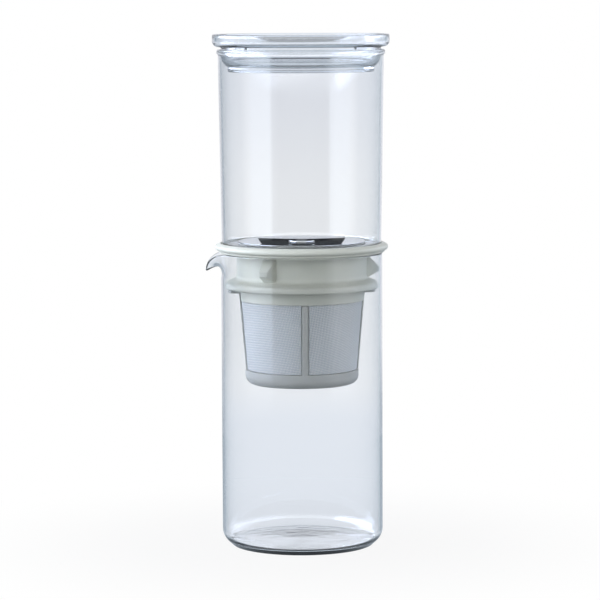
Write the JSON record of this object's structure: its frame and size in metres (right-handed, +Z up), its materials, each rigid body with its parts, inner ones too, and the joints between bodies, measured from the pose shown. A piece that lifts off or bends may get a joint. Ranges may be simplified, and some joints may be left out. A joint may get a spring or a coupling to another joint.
{
  "type": "cold brew coffee maker",
  "caption": "Slow-drip cold brew coffee maker: clear water glass with dish lid and steel drip plate over a plastic collar with mesh strainer in a spouted glass jug.",
  "frame": {"origin": "centre of the jug's flat foot, on the surface that it stands on", "axes": "+Z up along the middle axis of all pieces, -Y towards the front, the pouring spout on -X"},
  "size_m": [0.1086, 0.104, 0.3015],
  "materials": {
    "glass": "clear fire-polished borosilicate glass",
    "acrylic": "clear moulded acrylic, a stiff plastic that looks like glass",
    "moulding": "warm pale grey moulded polypropylene",
    "mesh": "fine woven polyester mesh",
    "silicone": "milky silicone rubber",
    "steel": "mirror polished stainless steel"
  },
  "bodies": {
    "server": {"server": "glass"},
    "dripper": {"collar": "moulding"},
    "strainer": {"strainer_frame": "moulding", "strainer_side_mesh_1": "mesh", "strainer_side_mesh_2": "mesh", "strainer_side_mesh_3": "mesh", "strainer_side_mesh_4": "mesh", "strainer_floor_mesh": "mesh"},
    "water_glass": {"upper_glass": "glass", "plate_gasket": "silicone"},
    "drip_unit": {"drip_plate": "steel", "drip_nozzle": "steel", "nozzle_seal": "silicone", "nozzle_nut": "steel"},
    "lid": {"lid": "acrylic"}
  },
  "joints": [
    {"name": "collar_lift", "type": "slide", "parent": "server", "child": "dripper", "axis": [0, 0, 1], "range_m": [0, 0.12]},
    {"name": "strainer_release", "type": "slide", "parent": "dripper", "child": "strainer", "axis": [0, 0, -1], "range_m": [0, 0.06]},
    {"name": "water_glass_lift", "type": "slide", "parent": "dripper", "child": "water_glass", "axis": [0, 0, 1], "range_m": [0, 0.05]},
    {"name": "drip_unit_lift", "type": "slide", "parent": "water_glass", "child": "drip_unit", "axis": [0, 0, 1], "range_m": [0, 0.08]},
    {"name": "lid_lift", "type": "slide", "parent": "water_glass", "child": "lid", "axis": [0, 0, 1], "range_m": [0, 0.06]}
  ]
}
